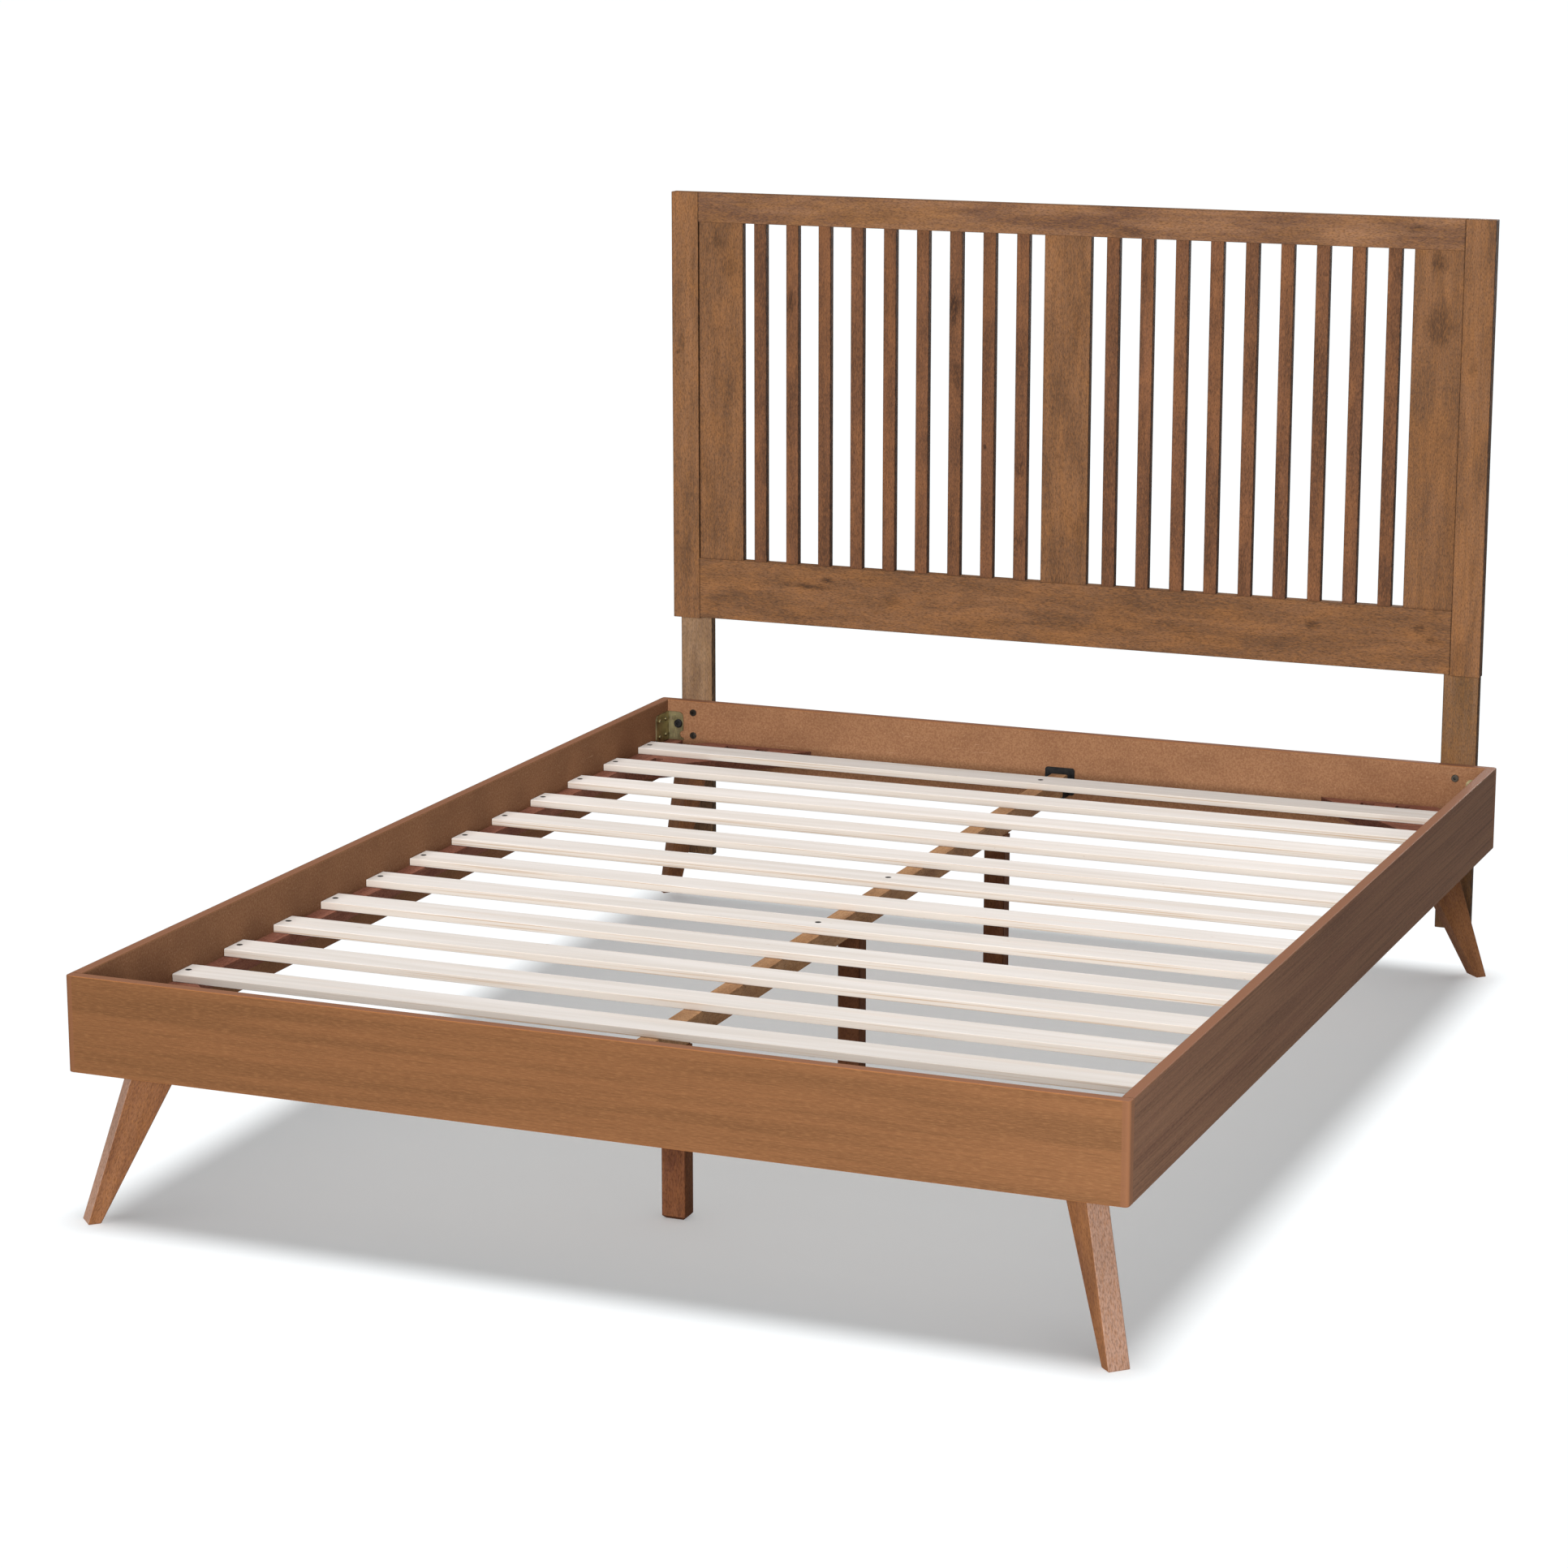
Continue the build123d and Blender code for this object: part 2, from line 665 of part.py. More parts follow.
post_top = stile_bolt_zs[-1] + post_above_bolt
for side, sign in sides.items():
    with BuildPart() as post:
        with Locations((sign * post_centre_x, head_y + post_thickness / 2, (post_bottom + post_top) / 2)):
            Box(post_width, post_thickness, post_top - post_bottom)
        fillet(post.edges(), post_round)
        drill(post_inserts_at[side], insert_radius + hole_clearance, insert_length + hole_end_gap)
        drill(headboard_bolts_at[side], bolt_hole_radius, post_thickness)
        sink_heads(headboard_bolts_at[side], bolt_head_radius + bolt_sink_clearance, headboard_bolt_sink)
    write_piece(post, f"{side}_headboard_post")

# Fasteners, each kind a group of loose pieces


def fastener_group(pattern, planes, name):
    """One copy of a fastener at each of the given places."""
    with BuildPart() as group:
        with Locations(*planes):
            add(pattern)
    write_piece(group, name)


def places(table):
    """All the places held in a table of lists."""
    return [plane for planes in table.values() for plane in planes]


slat_screws_at = places(end_slat_screws) + list(beam_slat_screws.values())
fastener_group(wood_screw(slat_screw_length), slat_screws_at, "slat_screws")
fastener_group(wood_screw(ledger_screw_length), places(ledger_screws_at), "ledger_screws")
fastener_group(wood_screw(bracket_screw_length), places(bracket_screws_at), "bracket_screws")
fastener_group(wood_screw(hanger_screw_length), places(hanger_screws_at), "hanger_screws")
brace_screws_at = places(end_screws_at) + places(side_screws_at)
fastener_group(wood_screw(brace_screw_length), brace_screws_at, "brace_screws")
fastener_group(machine_bolt(bracket_bolt_length), list(bracket_bolts_at.values()), "bracket_bolts")
leg_bolt_length = brace_thickness - leg_bolt_sink + leg_bolt_in_leg
fastener_group(machine_bolt(leg_bolt_length), places(leg_bolts_at), "leg_bolts")
headboard_bolt_length = post_thickness - headboard_bolt_sink + bolt_in_insert
fastener_group(machine_bolt(headboard_bolt_length), places(headboard_bolts_at), "headboard_bolts")
post_bolt = fastener(
    bolt_shank_radius,
    rail_thickness + bolt_in_insert,
    post_bolt_head_radius,
    post_bolt_head_height,
    post_bolt_head_round,
    bolt_socket_radius,
    post_bolt_socket_depth,
)
fastener_group(post_bolt, places(post_bolts_at), "post_bolts")

with BuildPart() as threaded_insert:
    Cylinder(insert_radius, insert_length, align=on_seat)
    Cylinder(bolt_hole_radius, insert_length, align=on_seat, mode=Mode.SUBTRACT)
fastener_group(threaded_insert.part, places(post_inserts_at) + places(stile_inserts_at), "threaded_inserts")

with BuildPart() as hanger_bolt:
    Cylinder(bolt_shank_radius, hanger_bolt_in_leg + hanger_bolt_in_beam, align=on_seat)
fastener_group(hanger_bolt.part, centre_bolts_at, "centre_leg_bolts")
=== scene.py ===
"""Looks of a queen-size wooden bed frame: finishes in wood, plywood and metal, studio light and camera."""

import math

import bmesh
import bpy
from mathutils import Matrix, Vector


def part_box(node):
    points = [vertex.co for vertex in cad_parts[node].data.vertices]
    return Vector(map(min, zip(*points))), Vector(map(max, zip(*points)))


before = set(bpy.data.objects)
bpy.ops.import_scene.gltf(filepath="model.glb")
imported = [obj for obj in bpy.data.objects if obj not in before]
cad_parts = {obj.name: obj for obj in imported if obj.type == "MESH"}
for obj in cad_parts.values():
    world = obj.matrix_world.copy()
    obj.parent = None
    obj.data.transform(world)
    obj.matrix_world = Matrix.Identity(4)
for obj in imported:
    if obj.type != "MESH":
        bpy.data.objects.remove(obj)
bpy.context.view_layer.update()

# Camera, in metres and degrees, with its focal length in pixels of the square picture
PICTURE_SIDE = 1932
FOCAL_PIXELS = 5085.5
SENSOR_MM = 36.0
CAMERA_PLACE = (2.323, -5.9571, 1.9727)
CAMERA_YAW = 22.312
CAMERA_PITCH = 12.983

# Studio: a pale floor, a faint white dome, and a half-clear card under the rails that shades the floor evenly
FLOOR_SIDE = 160.0
FLOOR_WHITE = "#F7F7F7"
DOME_WHITE = "#FFFFFF"
DOME_STRENGTH = 0.06
CARD_BLACK = "#000000"
CARD_SHADE = 0.62
PAPER_ROUGHNESS = 0.9

# Broad lights straight above, with their spread in degrees: for the bed, for the floor, and a weaker one for
# the floor that the legs shade too
BED_OVERHEAD = {"colour": "#FFFFFF", "strength": 3.2, "spread": 50.0}
FLOOR_OVERHEAD = {"colour": "#F9FDFF", "strength": 2.8, "spread": 25.0}
LEG_OVERHEAD = {"colour": "#F9FDFF", "strength": 0.6, "spread": 25.0}

# Square softboxes before and behind the bed, and a small one near its front right corner for the rails alone
FRONT_SOFTBOX = {
    "place": (0.8, -9.0, 2.2),
    "target": (0.0, 0.2, 0.4),
    "side": 3.0,
    "colour": "#FFFFFF",
    "watts": 1020.0,
}
BACK_SOFTBOX = {
    "place": (0.8, 9.0, 2.2),
    "target": (0.0, 0.2, 0.4),
    "side": 3.0,
    "colour": "#FFFFFF",
    "watts": 600.0,
}
RAIL_SOFTBOX = {
    "place": (1.9, -1.9, 0.5),
    "target": (0.8, -1.0, 0.3),
    "side": 0.8,
    "colour": "#D4E6FF",
    "watts": 27.4,
}

# Turns that lay a grain, which runs along a pattern's own Z, along an axis of the bed
ALONG_X = (0.0, -math.pi / 2, 0.0)
ALONG_Y = (math.pi / 2, 0.0, 0.0)
ALONG_Z = (0.0, 0.0, 0.0)
# Turn from a grain's own axes to those of a row of staves: X along the grain, Y across the board
STAVE_ROWS = (math.pi / 2, 0.0, math.pi / 2)

# Each board starts this far further into its pattern than the one before, so that no two look alike
BOARD_STEP = 3.17
# Number of steps at which the first board of each kind starts
FIRST_STEPS = {
    "headboard": 1,
    "headboard_slats": 11,
    "posts": 21,
    "rails": 31,
    "legs": 41,
    "centre_legs": 51,
    "ledgers": 61,
    "beam": 71,
}

# Bed slats, in metres: screw holes near their ends, and in the middle of those that are screwed to the beam
BED_SLATS = 13
SLAT_SCREW_INSET = 0.010
SCREW_HOLE_RADIUS = 0.0055
BEAM_SCREW_SLATS = (1, 6, 8)

# Headboard, in metres: its slats and the blanks they are glued from, the staves of its boards, and the half
# width of the dark line at a joint
HEADBOARD_SLATS_PER_BAY = 9
HEADBOARD_SLAT_WIDTH = 0.024
SLAT_BLANK_LENGTH = 0.26
STAVE_LENGTH = 0.48
STAVE_WIDTH = 0.062
STAVE_STAGGER = 0.37
JOINT_LINE = 0.0016

# Width of the lipping at both ends of the foot rail and the head rail, in metres
LIPPING_WIDTH = 0.011

# Size, in metres, of a cell that is left undivided along an axis
UNDIVIDED = 1000.0

# Largest part of a normal on a flat side, and in the middle of a rounded edge
FLAT_NORMAL = 0.985
EDGE_NORMAL = 0.8

# Shares of the way in from their rims at which a knot and the painted shade of a screw hole reach their full
# tone
KNOT_RIM = 0.6
HOLE_RIM = 0.15

# Specular level of the satin lacquer, low because the room gives it little to mirror, and of dry surfaces
LACQUER_SHINE = 0.008
DRY_SHINE = 0.2

# Roughness of each finish, or its least and greatest where it varies
LACQUER_ROUGHNESS = (0.46, 0.62)
RAIL_ROUGHNESS = (0.5, 0.75)
PLYWOOD_ROUGHNESS = 0.68
BLACK_OXIDE_ROUGHNESS = (0.45, 0.6)
ZINC_ROUGHNESS = (0.35, 0.5)
BRASS_ROUGHNESS = 0.3

# Relief of the pores in stained wood, and of the flecks and fibres in veneer and plywood, with its depth in
# metres as the distance
PORE_RELIEF = {"Strength": 0.25, "Distance": 0.0004}
FIBRE_RELIEF = {"Strength": 0.15, "Distance": 0.0003}

# Sockets of the Mix node when it mixes colours
AMOUNT, UNDER, OVER, MIXED = 0, 6, 7, 2

# Stain colours of each wood: pale and deep clouds, warm blushes, streaks, pores and knots
HEADBOARD_STAIN = {
    "pale": "#855F43",
    "deep": "#674B37",
    "warm": "#94643B",
    "streak": "#584030",
    "pore": "#37281E",
    "knot": "#382A22",
}
HEADBOARD_SLAT_STAIN = {
    "pale": "#895D43",
    "deep": "#5F4231",
    "warm": "#8F5F3D",
    "streak": "#4F382B",
    "pore": "#35251C",
    "knot": "#372821",
}
# The headboard's top rail: greyer, paler tones that carry a painted sheen
TOP_RAIL_STAIN_WITH_PAINTED_SHEEN = {
    "pale": "#8F694E",
    "deep": "#614638",
    "warm": "#93663C",
    "streak": "#5D4335",
    "pore": "#3A2A21",
    "knot": "#3B2C25",
}
LEG_STAIN = {
    "pale": "#865C40",
    "deep": "#6A4632",
    "warm": "#8C5C35",
    "streak": "#5B3B28",
    "pore": "#3D251A",
    "knot": "#472E21",
}
# Centre legs: the corner legs' stain made darker, painted shade under the bed
CENTRE_LEG_STAIN_WITH_PAINTED_SHADE = {
    "pale": "#6A4531",
    "deep": "#543325",
    "warm": "#6E4528",
    "streak": "#482B1D",
    "pore": "#2F1A11",
    "knot": "#372117",
}
LEFT_POST_STAIN = {
    "pale": "#997C62",
    "deep": "#7C624D",
    "warm": "#916F4B",
    "streak": "#6E5643",
    "pore": "#433429",
    "knot": "#574437",
}
RIGHT_POST_STAIN = {
    "pale": "#85644A",
    "deep": "#6A503A",
    "warm": "#916438",
    "streak": "#594230",
    "pore": "#38291F",
    "knot": "#3F2F26",
}
SUPPORT_STAIN = {
    "pale": "#8A5C4C",
    "deep": "#6E4438",
    "warm": "#8A5A44",
    "streak": "#603A30",
    "pore": "#42271F",
    "knot": "#4A2D25",
}
BEAM_STAIN = {
    "pale": "#A98463",
    "deep": "#8A664A",
    "warm": "#A87C52",
    "streak": "#785539",
    "pore": "#4D3526",
    "knot": "#5A3F2D",
}
# Painted light on the outer side of each corner leg
LEG_PAINTED_LIGHT_FACE = "#A38575"
# Painted shade on the narrow sides of upright pieces
PAINTED_SIDE_SHADE = "#1C120C"
STAVE_BLACK = "#000000"
STAVE_WHITE = "#FFFFFF"

# Walnut veneer on the outside of the rails: its colours, of which the edge colour is a painted highlight on
# the rounded edges, and the size and strength of its grain lines
END_VENEER = {
    "pale": "#6B472D",
    "deep": "#5D3E27",
    "line": "#4B311E",
    "fleck": "#845D3C",
    "edge": "#8A5832",
    "line_mm": (1.8, 1.8, 70),
    "line_strength": 0.3,
}
SIDE_VENEER = {
    "pale": "#684934",
    "deep": "#5B3D2C",
    "line": "#3A261A",
    "fleck": "#7E5A40",
    "edge": "#6A4730",
    "line_mm": (3.2, 3.2, 320),
    "line_strength": 0.5,
}

# Colours of the bare board inside the rails, and of the rails' tops and lipped ends
END_BOARD = {"pale": "#926A4C", "deep": "#835B41", "stain": "#6E4A35"}
SIDE_BOARD = {"pale": "#876145", "deep": "#7A543B", "stain": "#654531"}
BOARD_SPECK = "#B8926F"
BOARD_SCRATCH = "#BF9A7B"
RAIL_TOP = "#815A45"
RAIL_END = "#6A4630"

# Colours of birch plywood, on its faces and in its edges, and the painted shade of the screw holes in it
BIRCH_FACE = {
    "pale": "#D0CAC5",
    "deep": "#C6BFB8",
    "fibre": "#C0B3A9",
    "blush": "#CFBFB1",
    "defect": "#8E6B4C",
}
BIRCH_EDGE = {"pale": "#C7BDB3", "ply": "#B29B85", "fibre": "#B7A592", "defect": "#7E5B3E"}
SCREW_HOLE_PAINTED_SHADE = "#1A130E"

# Colours of the metals
BLACK_OXIDE = {"deep": "#0E0E0F", "pale": "#1C1B1B"}
YELLOW_ZINC = {"deep": "#7C7455", "pale": "#978D6A", "blush": "#927A69"}
BRIGHT_ZINC = {"deep": "#B7B2A4", "pale": "#D0CBBE", "blush": "#BCA890"}
# Zinc darkened with painted shade, for the bolts sunk in the posts
ZINC_WITH_PAINTED_SHADE = {"deep": "#2E2A26", "pale": "#45403A", "blush": "#3C342C"}
BRASS = {"deep": "#A78A4C", "pale": "#C6A963"}


def linear(hex_colour):
    """Linear RGBA of an sRGB hex colour."""
    channels = [int(hex_colour[i : i + 2], 16) / 255 for i in (1, 3, 5)]
    return [c / 12.92 if c <= 0.04045 else ((c + 0.055) / 1.055) ** 2.4 for c in channels] + [1.0]


def per_size(*sizes_mm):
    """Pattern scales, in cells per metre, for cells of the given sizes in millimetres."""
    return tuple(1000.0 / size for size in sizes_mm)


def feed(tree, node, inputs):
    """Link or set the given inputs of a node."""
    for key, value in inputs.items():
        if isinstance(value, bpy.types.NodeSocket):
            tree.links.new(value, node.inputs[key])
        else:
            node.inputs[key].default_value = value


def add(tree, kind, inputs=None, **settings):
    """Add a node with its settings, link or set the given inputs, and return it."""
    made = tree.nodes.new(kind)
    for name, value in settings.items():
        setattr(made, name, value)
    feed(tree, made, inputs or {})
    return made


def new_material(name):
    """An empty node material. Returns it with its tree and its Principled shader."""
    material = bpy.data.materials.new(name)
    material.use_nodes = True
    return material, material.node_tree, material.node_tree.nodes["Principled BSDF"]


def patches(tree, coords, sizes_mm, low, high, detail=2.0, distortion=0.0):
    """Amount of a soft-edged patchy pattern, none where its noise is under low and full over high."""
    sized = add(tree, "ShaderNodeMapping", {"Vector": coords, "Scale": per_size(*sizes_mm)})
    noise = add(
        tree,
        "ShaderNodeTexNoise",
        {"Vector": sized.outputs[0], "Scale": 1.0, "Detail": detail, "Distortion": distortion},
    )
    amount = add(
        tree,
        "ShaderNodeMapRange",
        {"Value": noise.outputs["Fac"], "From Min": low, "From Max": high},
        interpolation_type="SMOOTHSTEP",
    )
    return amount.outputs["Result"]


def layered(tree, colour, layers):
    """Lay colours over a first one. Each layer is a pattern's amount, its strength and its colour."""
    for amount, strength, over in layers:
        weak = add(tree, "ShaderNodeMath", {0: amount, 1: strength}, operation="MULTIPLY")
        inputs = {AMOUNT: weak.outputs[0], UNDER: colour, OVER: linear(over)}
        colour = add(tree, "ShaderNodeMix", inputs, data_type="RGBA").outputs[MIXED]
    return colour


def facing(tree, direction, low=0.55, high=0.8):
    """Amount by which a surface faces a direction of the bed."""
    normal = add(tree, "ShaderNodeNewGeometry").outputs["Normal"]
    dot = add(tree, "ShaderNodeVectorMath", {0: normal, 1: direction}, operation="DOT_PRODUCT")
    inputs = {"Value": dot.outputs["Value"], "From Min": low, "From Max": high}
    return add(tree, "ShaderNodeMapRange", inputs, interpolation_type="SMOOTHSTEP").outputs["Result"]


def rounded_edges(tree):
    """Amount by which a surface lies on a rounded edge, where the normal is far from every axis."""
    normal = add(tree, "ShaderNodeNewGeometry").outputs["Normal"]
    size = add(tree, "ShaderNodeVectorMath", {0: normal}, operation="ABSOLUTE")
    parts = add(tree, "ShaderNodeSeparateXYZ", {0: size.outputs[0]})
    widest = add(tree, "ShaderNodeMath", {0: parts.outputs[0], 1: parts.outputs[1]}, operation="MAXIMUM")
    widest = add(tree, "ShaderNodeMath", {0: widest.outputs[0], 1: parts.outputs[2]}, operation="MAXIMUM")
    inputs = {"Value": widest.outputs[0], "From Min": FLAT_NORMAL, "From Max": EDGE_NORMAL}
    return add(tree, "ShaderNodeMapRange", inputs, interpolation_type="SMOOTHSTEP").outputs["Result"]


def along_grain(tree, spot, turn, shift):
    """Coordinates whose Z runs along a board's grain, moved on by the board's own shift."""
    inputs = {"Vector": spot, "Rotation": turn, "Location": (shift, -shift, 2 * shift)}
    return add(tree, "ShaderNodeMapping", inputs).outputs[0]


def across_bed(tree, place):
    """Distance to either side from the middle of the bed."""
    parts = add(tree, "ShaderNodeSeparateXYZ", {0: place})
    return add(tree, "ShaderNodeMath", {0: parts.outputs[0]}, operation="ABSOLUTE").outputs[0]


def bay_slats(tree, place, bay):
    """A random tone and colour for each slat of a headboard bay."""
    start, pitch = bay
    moved = add(tree, "ShaderNodeMapping", {"Vector": place, "Location": (-start, 0.0, 0.0)})
    steps = (pitch, UNDIVIDED, UNDIVIDED)
    slat = add(tree, "ShaderNodeVectorMath", {0: moved.outputs[0], 1: steps}, operation="SNAP")
    return add(tree, "ShaderNodeTexWhiteNoise", {"Vector": slat.outputs[0]}, noise_dimensions="3D").outputs


def slat_blanks(tree, spot):
    """A random tone for each of the blanks that a headboard slat is glued from, end to end."""
    steps = (UNDIVIDED, UNDIVIDED, SLAT_BLANK_LENGTH)
    blank = add(tree, "ShaderNodeVectorMath", {0: spot, 1: steps}, operation="SNAP")
    tones = add(tree, "ShaderNodeTexWhiteNoise", {"Vector": blank.outputs[0]}, noise_dimensions="3D")
    return tones.outputs["Value"]


def glued_staves(tree, coords, joint):
    """Tone of each of the staves that a board is glued from, with one row's joint at the given place."""
    inputs = {"Vector": coords, "Rotation": STAVE_ROWS, "Location": (-joint, 0.0, 0.0)}
    rows = add(tree, "ShaderNodeMapping", inputs)
    inputs = {
        "Vector": rows.outputs[0],
        "Color1": linear(STAVE_BLACK),
        "Color2": linear(STAVE_WHITE),
        "Scale": 1.0,
        "Mortar Size": 0.0,
        "Brick Width": STAVE_LENGTH,
        "Row Height": STAVE_WIDTH,
    }
    return add(tree, "ShaderNodeTexBrick", inputs, offset=STAVE_STAGGER).outputs["Color"]


def stile_joints(tree, place):
    """Amount of the dark lines where the headboard's rails and boards meet its stiles."""
    stile_inner_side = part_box("headboard_right_stile")[0].x
    inputs = {0: across_bed(tree, place), 1: stile_inner_side, 2: JOINT_LINE}
    return add(tree, "ShaderNodeMath", inputs, operation="COMPARE").outputs[0]


def lipped_ends(tree, place):
    """Amount of the lippings that close both ends of a rail across the bed."""
    lipping_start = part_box("foot_rail")[1].x - LIPPING_WIDTH
    inputs = {0: across_bed(tree, place), 1: lipping_start}
    return add(tree, "ShaderNodeMath", inputs, operation="GREATER_THAN").outputs[0]


def stain_marks(tree, place, marks, colour):
    """Layers of ragged knots and smudges on the front of a board.

    Each mark is the x and z of its middle, its width and its height, in millimetres, and its strength.
    """
    ragged = patches(tree, place, sizes_mm=(26, 26, 42), low=0.15, high=0.7, detail=3.0)
    layers = []
    for x, z, width, height, strength in marks:
        half_width = width / 2
        half_height = height / 2
        scale_x, scale_z = per_size(half_width, half_height)
        middle = (-x / half_width, 0.0, -z / half_height)
        inputs = {"Vector": place, "Scale": (scale_x, 0.0, scale_z), "Location": middle}
        near = add(tree, "ShaderNodeMapping", inputs)
        ball = add(tree, "ShaderNodeTexGradient", {"Vector": near.outputs[0]}, gradient_type="SPHERICAL")
        rough = add(tree, "ShaderNodeMath", {0: ball.outputs["Fac"], 1: ragged}, operation="MULTIPLY")
        inputs = {"Value": rough.outputs[0], "From Max": KNOT_RIM}
        amount = add(tree, "ShaderNodeMapRange", inputs, interpolation_type="SMOOTHSTEP")
        layers.append((amount.outputs["Result"], strength, colour))
    return layers


def painted_hole_shade(tree, place, x, y):
    """Amount of painted shade in a round hole that runs down through a bed slat."""
    scale = 1 / SCREW_HOLE_RADIUS
    inputs = {"Vector": place, "Scale": (scale, scale, 0.0), "Location": (-x * scale, -y * scale, 0.0)}
    near = add(tree, "ShaderNodeMapping", inputs)
    ball = add(tree, "ShaderNodeTexGradient", {"Vector": near.outputs[0]}, gradient_type="SPHERICAL")
    inputs = {"Value": ball.outputs["Fac"], "From Max": HOLE_RIM}
    return add(tree, "ShaderNodeMapRange", inputs).outputs["Result"]


def stained_hardwood(
    name, stain, turn, shift, bay=None, joint=None, marks=(), with_painted_side_shade=False, painted_light_side=None
):
    """Planed rubberwood, stained and satin-lacquered: cloudy tone, long streaks, dark pores, some knots.

    The eased edges are drawn dark, and the narrow sides of upright pieces carry painted shade, so they look
    dark. Wide boards are glued from staves and meet the stiles in thin dark lines. The slats of a bay differ
    in tone, and along a slat so do the blanks that it is glued from. A leg, cut across the axes of the bed,
    has no dark edges, and its outer side carries painted light, so it looks paler. The pores are drawn
    coarser than real ones, which would not show from across a room.
    """
    material, tree, shader = new_material(name)
    place = add(tree, "ShaderNodeTexCoord").outputs["Object"]
    spot = place
    if bay:
        lots = bay_slats(tree, place, bay)
        inputs = {0: lots["Color"], 1: (BOARD_STEP,) * 3, 2: place}
        spot = add(tree, "ShaderNodeVectorMath", inputs, operation="MULTIPLY_ADD").outputs[0]
    coords = along_grain(tree, spot, turn, shift)

    clouds = patches(tree, coords, sizes_mm=(26, 26, 190), low=0.28, high=0.72, detail=4.0, distortion=0.4)
    blushes = patches(tree, coords, sizes_mm=(44, 44, 130), low=0.45, high=0.7, detail=3.0, distortion=0.5)
    smudges = patches(tree, coords, sizes_mm=(50, 50, 110), low=0.5, high=0.8, detail=3.0, distortion=0.5)
    streaks = patches(tree, coords, sizes_mm=(4, 4, 120), low=0.46, high=0.68, detail=3.0)
    flecks = patches(tree, coords, sizes_mm=(2.0, 2.0, 9), low=0.4, high=0.7, detail=3.0)
    pores = patches(tree, coords, sizes_mm=(1.4, 1.4, 5), low=0.4, high=0.75, detail=3.0)

    layers = [(clouds, 1.0, stain["pale"])]
    if bay:
        layers.append((lots["Value"], 0.5, stain["streak"]))
        layers.append((slat_blanks(tree, spot), 0.5, stain["streak"]))
    if joint is not None:
        unshifted = along_grain(tree, place, turn, 0.0)
        layers.append((glued_staves(tree, unshifted, joint), 0.3, stain["streak"]))
    layers.append((blushes, 0.4, stain["warm"]))
    layers.append((streaks, 0.28, stain["streak"]))
    layers.append((smudges, 0.4, stain["knot"]))
    if marks:
        layers += stain_marks(tree, place, marks, stain["knot"])
    # Painted light: the outer side of a corner leg is drawn paler
    if painted_light_side:
        layers.append((facing(tree, painted_light_side), 0.75, LEG_PAINTED_LIGHT_FACE))
    else:
        layers.append((rounded_edges(tree), 0.8, stain["pore"]))
    if joint is not None:
        layers.append((stile_joints(tree, place), 0.75, stain["pore"]))
    # Painted shade on the sides that face to either side of the bed
    if with_painted_side_shade:
        layers += [(facing(tree, (side, 0, 0)), 0.9, PAINTED_SIDE_SHADE) for side in (-1, 1)]
    layers.append((flecks, 0.4, stain["warm"]))
    layers.append((pores, 0.55, stain["pore"]))

    smooth, rough = LACQUER_ROUGHNESS
    sheen = add(tree, "ShaderNodeMapRange", {"Value": pores, "To Min": smooth, "To Max": rough})
    dents = add(tree, "ShaderNodeBump", {"Height": pores, **PORE_RELIEF}, invert=True)
    inputs = {
        "Base Color": layered(tree, linear(stain["deep"]), layers),
        "Roughness": sheen.outputs[0],
        "Specular IOR Level": LACQUER_SHINE,
        "Normal": dents.outputs[0],
    }
    feed(tree, shader, inputs)
    return material


